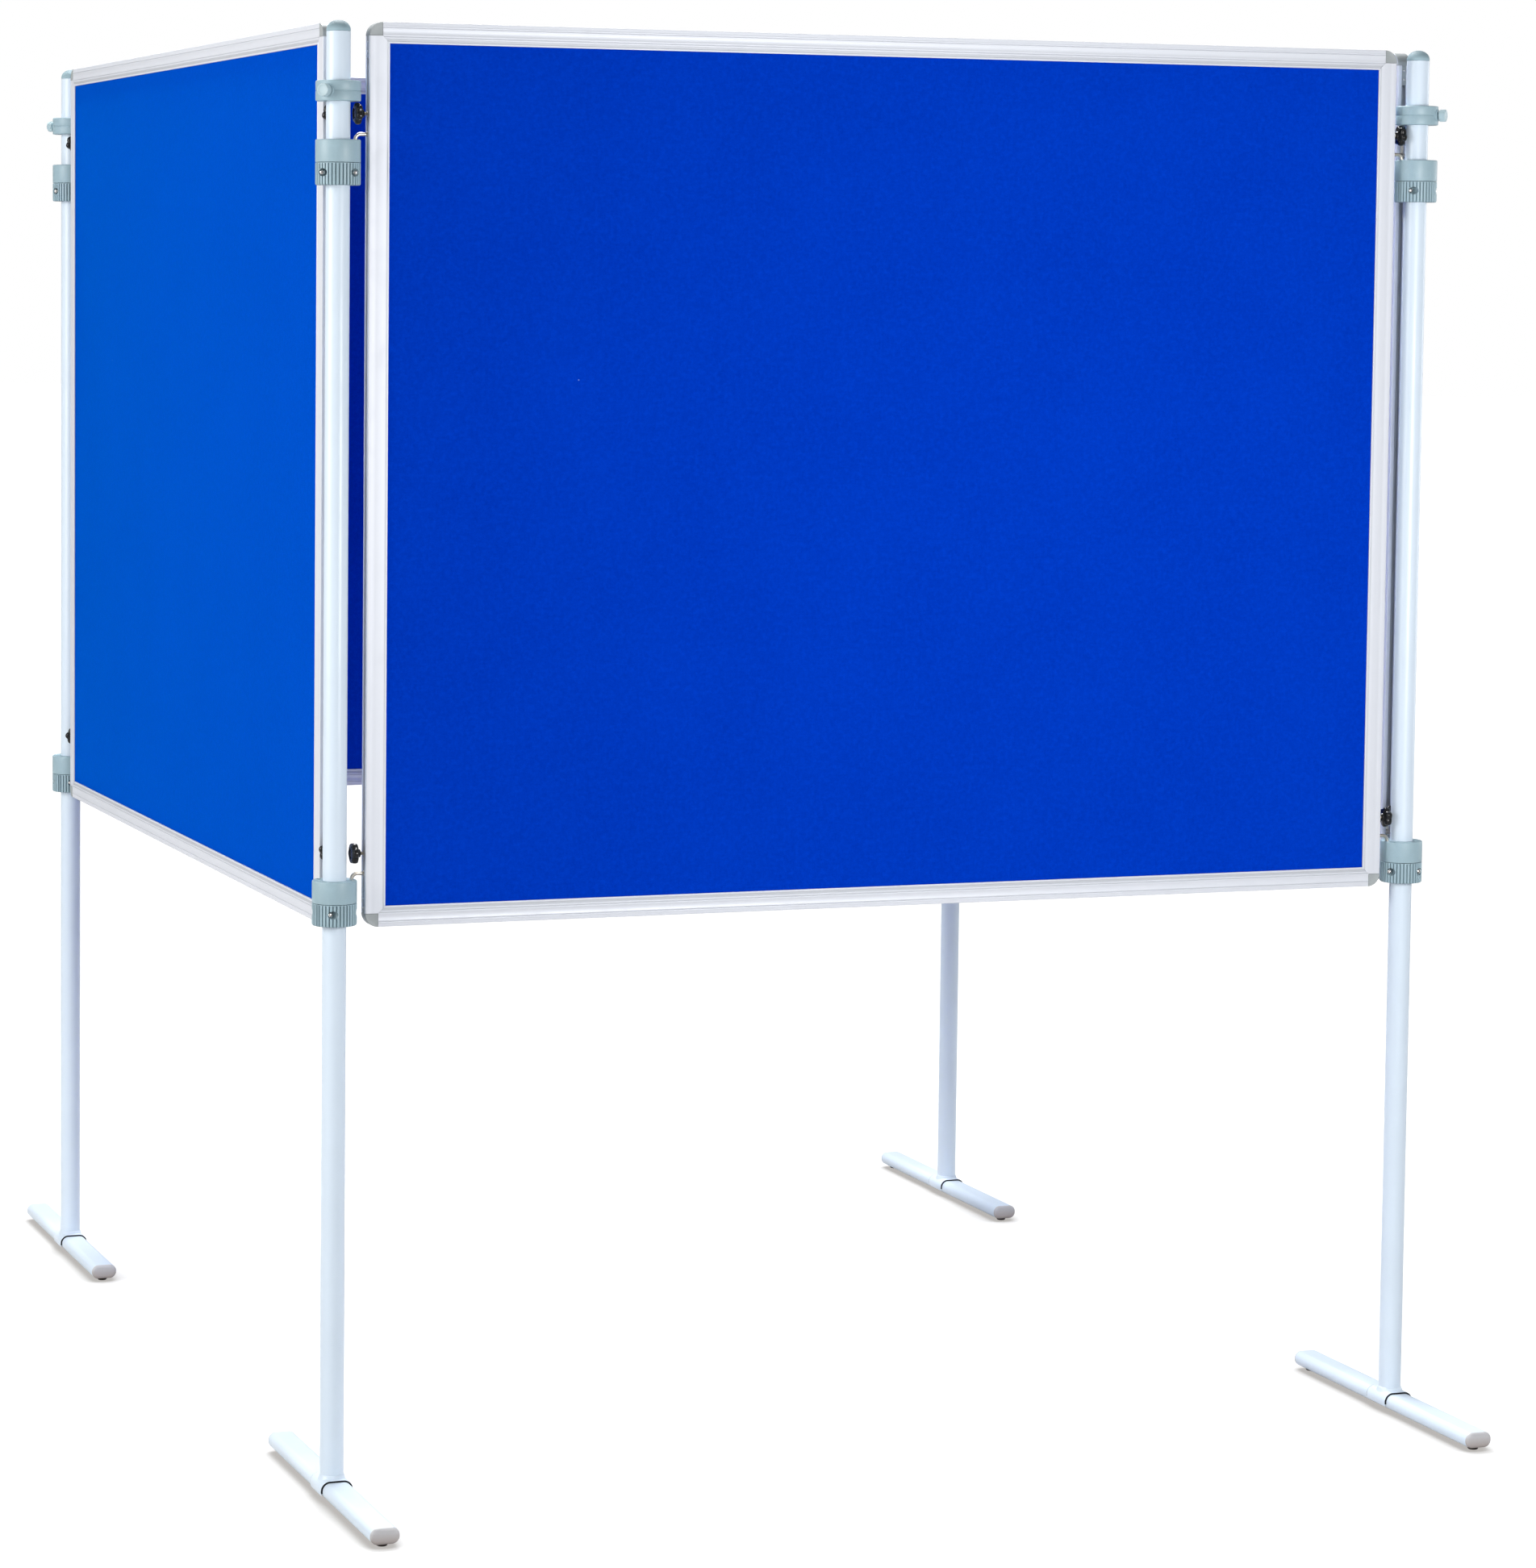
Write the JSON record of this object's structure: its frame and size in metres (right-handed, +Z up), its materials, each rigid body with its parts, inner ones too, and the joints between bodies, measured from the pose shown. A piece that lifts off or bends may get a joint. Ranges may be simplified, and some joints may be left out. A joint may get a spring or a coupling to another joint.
{
  "type": "mobile pinboard",
  "caption": "Free-standing booth of framed felt pinboards hung by hooks on T-foot posts, with lock rings, star knobs and swinging corners.",
  "frame": {"origin": "on the floor, at the centre of the square of four posts", "axes": "+Z up; +Y from the front board to the rear board, along the feet; +X to the right seen from the front"},
  "size_m": [1.6758, 2.115, 1.9738],
  "materials": {
    "frame_aluminium": "satin anodised",
    "felt_board": "blue pinnable felt on both faces",
    "painted_steel": "smooth pale powder coat",
    "grey_plastic": "satin grey-green moulding",
    "end_cap_plastic": "satin grey moulding",
    "black_plastic": "satin black moulding"
  },
  "bodies": {
    "front_board": {"front_frame": "frame_aluminium", "front_panel": "felt_board"},
    "left_board": {"left_frame": "frame_aluminium", "left_panel": "felt_board"},
    "right_board": {"right_frame": "frame_aluminium", "right_panel": "felt_board"},
    "rear_board": {"rear_frame": "frame_aluminium", "rear_panel": "felt_board"},
    "front_left_post": {"front_left_post": "painted_steel", "front_left_post_cap": "grey_plastic", "front_left_foot_bar": "painted_steel", "front_left_foot_end_front": "end_cap_plastic", "front_left_foot_end_rear": "end_cap_plastic", "front_left_hook_collar_upper": "grey_plastic", "front_left_hook_collar_lower": "grey_plastic"},
    "front_left_lock_ring": {"front_left_lock_ring": "grey_plastic"},
    "front_left_thumbscrew": {"front_left_thumbscrew": "grey_plastic"},
    "front_right_post": {"front_right_post": "painted_steel", "front_right_post_cap": "grey_plastic", "front_right_foot_bar": "painted_steel", "front_right_foot_end_front": "end_cap_plastic", "front_right_foot_end_rear": "end_cap_plastic", "front_right_hook_collar_upper": "grey_plastic", "front_right_hook_collar_lower": "grey_plastic"},
    "front_right_lock_ring": {"front_right_lock_ring": "grey_plastic"},
    "front_right_thumbscrew": {"front_right_thumbscrew": "grey_plastic"},
    "rear_left_post": {"rear_left_post": "painted_steel", "rear_left_post_cap": "grey_plastic", "rear_left_foot_bar": "painted_steel", "rear_left_foot_end_front": "end_cap_plastic", "rear_left_foot_end_rear": "end_cap_plastic", "rear_left_hook_collar_upper": "grey_plastic", "rear_left_hook_collar_lower": "grey_plastic"},
    "rear_left_lock_ring": {"rear_left_lock_ring": "grey_plastic"},
    "rear_left_thumbscrew": {"rear_left_thumbscrew": "grey_plastic"},
    "rear_right_post": {"rear_right_post": "painted_steel", "rear_right_post_cap": "grey_plastic", "rear_right_foot_bar": "painted_steel", "rear_right_foot_end_front": "end_cap_plastic", "rear_right_foot_end_rear": "end_cap_plastic", "rear_right_hook_collar_upper": "grey_plastic", "rear_right_hook_collar_lower": "grey_plastic"},
    "rear_right_lock_ring": {"rear_right_lock_ring": "grey_plastic"},
    "rear_right_thumbscrew": {"rear_right_thumbscrew": "grey_plastic"},
    "front_knob_left_upper": {"front_knob_left_upper": "black_plastic"},
    "front_knob_left_lower": {"front_knob_left_lower": "black_plastic"},
    "front_knob_right_upper": {"front_knob_right_upper": "black_plastic"},
    "front_knob_right_lower": {"front_knob_right_lower": "black_plastic"},
    "left_knob_rear_upper": {"left_knob_rear_upper": "black_plastic"},
    "left_knob_rear_lower": {"left_knob_rear_lower": "black_plastic"},
    "left_knob_front_upper": {"left_knob_front_upper": "black_plastic"},
    "left_knob_front_lower": {"left_knob_front_lower": "black_plastic"},
    "right_knob_front_upper": {"right_knob_front_upper": "black_plastic"},
    "right_knob_front_lower": {"right_knob_front_lower": "black_plastic"},
    "right_knob_rear_upper": {"right_knob_rear_upper": "black_plastic"},
    "right_knob_rear_lower": {"right_knob_rear_lower": "black_plastic"},
    "rear_knob_right_upper": {"rear_knob_right_upper": "black_plastic"},
    "rear_knob_right_lower": {"rear_knob_right_lower": "black_plastic"},
    "rear_knob_left_upper": {"rear_knob_left_upper": "black_plastic"},
    "rear_knob_left_lower": {"rear_knob_left_lower": "black_plastic"}
  },
  "joints": [
    {"name": "corner_turn", "type": "hinge", "parent": "front_board", "child": "front_left_post", "pos_m": [-0.779, -0.8025, 1.3], "axis": [0, 0, 1], "range_deg": [-30, 30]},
    {"name": "board_swing", "type": "hinge", "parent": "front_left_post", "child": "left_board", "pos_m": [-0.8025, -0.779, 1.3], "axis": [0, 0, 1], "range_deg": [-30, 30]},
    {"name": "front_right_turn", "type": "hinge", "parent": "front_board", "child": "front_right_post", "pos_m": [0.779, -0.8025, 1.3], "axis": [0, 0, 1], "range_deg": [-30, 30]},
    {"name": "right_board_swing", "type": "hinge", "parent": "front_right_post", "child": "right_board", "pos_m": [0.8025, -0.779, 1.3], "axis": [0, 0, 1], "range_deg": [-30, 30]},
    {"name": "rear_left_turn", "type": "hinge", "parent": "left_board", "child": "rear_left_post", "pos_m": [-0.8025, 0.779, 1.3], "axis": [0, 0, 1], "range_deg": [-30, 30]},
    {"name": "rear_right_turn", "type": "hinge", "parent": "right_board", "child": "rear_right_post", "pos_m": [0.8025, 0.779, 1.3], "axis": [0, 0, 1], "range_deg": [-30, 30]},
    {"name": "rear_board_swing", "type": "hinge", "parent": "rear_left_post", "child": "rear_board", "pos_m": [-0.779, 0.8025, 1.3], "axis": [0, 0, 1], "range_deg": [-30, 30]},
    {"name": "ring_lift_front_left", "type": "slide", "parent": "front_left_post", "child": "front_left_lock_ring", "axis": [0, 0, 1], "range_m": [0, 0.06]},
    {"name": "ring_lift_front_right", "type": "slide", "parent": "front_right_post", "child": "front_right_lock_ring", "axis": [0, 0, 1], "range_m": [0, 0.06]},
    {"name": "ring_lift_rear_left", "type": "slide", "parent": "rear_left_post", "child": "rear_left_lock_ring", "axis": [0, 0, 1], "range_m": [0, 0.06]},
    {"name": "ring_lift_rear_right", "type": "slide", "parent": "rear_right_post", "child": "rear_right_lock_ring", "axis": [0, 0, 1], "range_m": [0, 0.06]},
    {"name": "thumbscrew_turn_front_left", "type": "hinge", "parent": "front_left_lock_ring", "child": "front_left_thumbscrew", "pos_m": [-0.82725, -0.82725, 1.8805], "axis": [-0.7071, -0.7071, 0], "range_deg": [0, 360]},
    {"name": "thumbscrew_turn_front_right", "type": "hinge", "parent": "front_right_lock_ring", "child": "front_right_thumbscrew", "pos_m": [0.82725, -0.82725, 1.8805], "axis": [0.7071, -0.7071, 0], "range_deg": [0, 360]},
    {"name": "thumbscrew_turn_rear_left", "type": "hinge", "parent": "rear_left_lock_ring", "child": "rear_left_thumbscrew", "pos_m": [-0.82725, 0.82725, 1.8805], "axis": [-0.7071, 0.7071, 0], "range_deg": [0, 360]},
    {"name": "thumbscrew_turn_rear_right", "type": "hinge", "parent": "rear_right_lock_ring", "child": "rear_right_thumbscrew", "pos_m": [0.82725, 0.82725, 1.8805], "axis": [0.7071, 0.7071, 0], "range_deg": [0, 360]},
    {"name": "knob_turn_front_left_upper", "type": "hinge", "parent": "front_board", "child": "front_knob_left_upper", "pos_m": [-0.7745, -0.8025, 1.8515], "axis": [-1, 0, 0], "range_deg": [0, 360]},
    {"name": "knob_turn_front_left_lower", "type": "hinge", "parent": "front_board", "child": "front_knob_left_lower", "pos_m": [-0.7745, -0.8025, 0.8705], "axis": [-1, 0, 0], "range_deg": [0, 360]},
    {"name": "knob_turn_front_right_upper", "type": "hinge", "parent": "front_board", "child": "front_knob_right_upper", "pos_m": [0.7745, -0.8025, 1.8515], "axis": [1, 0, 0], "range_deg": [0, 360]},
    {"name": "knob_turn_front_right_lower", "type": "hinge", "parent": "front_board", "child": "front_knob_right_lower", "pos_m": [0.7745, -0.8025, 0.8705], "axis": [1, 0, 0], "range_deg": [0, 360]},
    {"name": "knob_turn_left_rear_upper", "type": "hinge", "parent": "left_board", "child": "left_knob_rear_upper", "pos_m": [-0.8025, 0.7745, 1.8515], "axis": [0, 1, 0], "range_deg": [0, 360]},
    {"name": "knob_turn_left_rear_lower", "type": "hinge", "parent": "left_board", "child": "left_knob_rear_lower", "pos_m": [-0.8025, 0.7745, 0.8705], "axis": [0, 1, 0], "range_deg": [0, 360]},
    {"name": "knob_turn_left_front_upper", "type": "hinge", "parent": "left_board", "child": "left_knob_front_upper", "pos_m": [-0.8025, -0.7745, 1.8515], "axis": [0, -1, 0], "range_deg": [0, 360]},
    {"name": "knob_turn_left_front_lower", "type": "hinge", "parent": "left_board", "child": "left_knob_front_lower", "pos_m": [-0.8025, -0.7745, 0.8705], "axis": [0, -1, 0], "range_deg": [0, 360]},
    {"name": "knob_turn_right_front_upper", "type": "hinge", "parent": "right_board", "child": "right_knob_front_upper", "pos_m": [0.8025, -0.7745, 1.8515], "axis": [0, -1, 0], "range_deg": [0, 360]},
    {"name": "knob_turn_right_front_lower", "type": "hinge", "parent": "right_board", "child": "right_knob_front_lower", "pos_m": [0.8025, -0.7745, 0.8705], "axis": [0, -1, 0], "range_deg": [0, 360]},
    {"name": "knob_turn_right_rear_upper", "type": "hinge", "parent": "right_board", "child": "right_knob_rear_upper", "pos_m": [0.8025, 0.7745, 1.8515], "axis": [0, 1, 0], "range_deg": [0, 360]},
    {"name": "knob_turn_right_rear_lower", "type": "hinge", "parent": "right_board", "child": "right_knob_rear_lower", "pos_m": [0.8025, 0.7745, 0.8705], "axis": [0, 1, 0], "range_deg": [0, 360]},
    {"name": "knob_turn_rear_right_upper", "type": "hinge", "parent": "rear_board", "child": "rear_knob_right_upper", "pos_m": [0.7745, 0.8025, 1.8515], "axis": [1, 0, 0], "range_deg": [0, 360]},
    {"name": "knob_turn_rear_right_lower", "type": "hinge", "parent": "rear_board", "child": "rear_knob_right_lower", "pos_m": [0.7745, 0.8025, 0.8705], "axis": [1, 0, 0], "range_deg": [0, 360]},
    {"name": "knob_turn_rear_left_upper", "type": "hinge", "parent": "rear_board", "child": "rear_knob_left_upper", "pos_m": [-0.7745, 0.8025, 1.8515], "axis": [-1, 0, 0], "range_deg": [0, 360]},
    {"name": "knob_turn_rear_left_lower", "type": "hinge", "parent": "rear_board", "child": "rear_knob_left_lower", "pos_m": [-0.7745, 0.8025, 0.8705], "axis": [-1, 0, 0], "range_deg": [0, 360]}
  ],
  "couplings": [
    {"joint": "front_right_turn", "follows": "corner_turn", "ratio": 1},
    {"joint": "right_board_swing", "follows": "board_swing", "ratio": 1},
    {"joint": "rear_left_turn", "follows": "board_swing", "ratio": -1},
    {"joint": "rear_right_turn", "follows": "board_swing", "ratio": -1},
    {"joint": "rear_board_swing", "follows": "corner_turn", "ratio": -1}
  ]
}
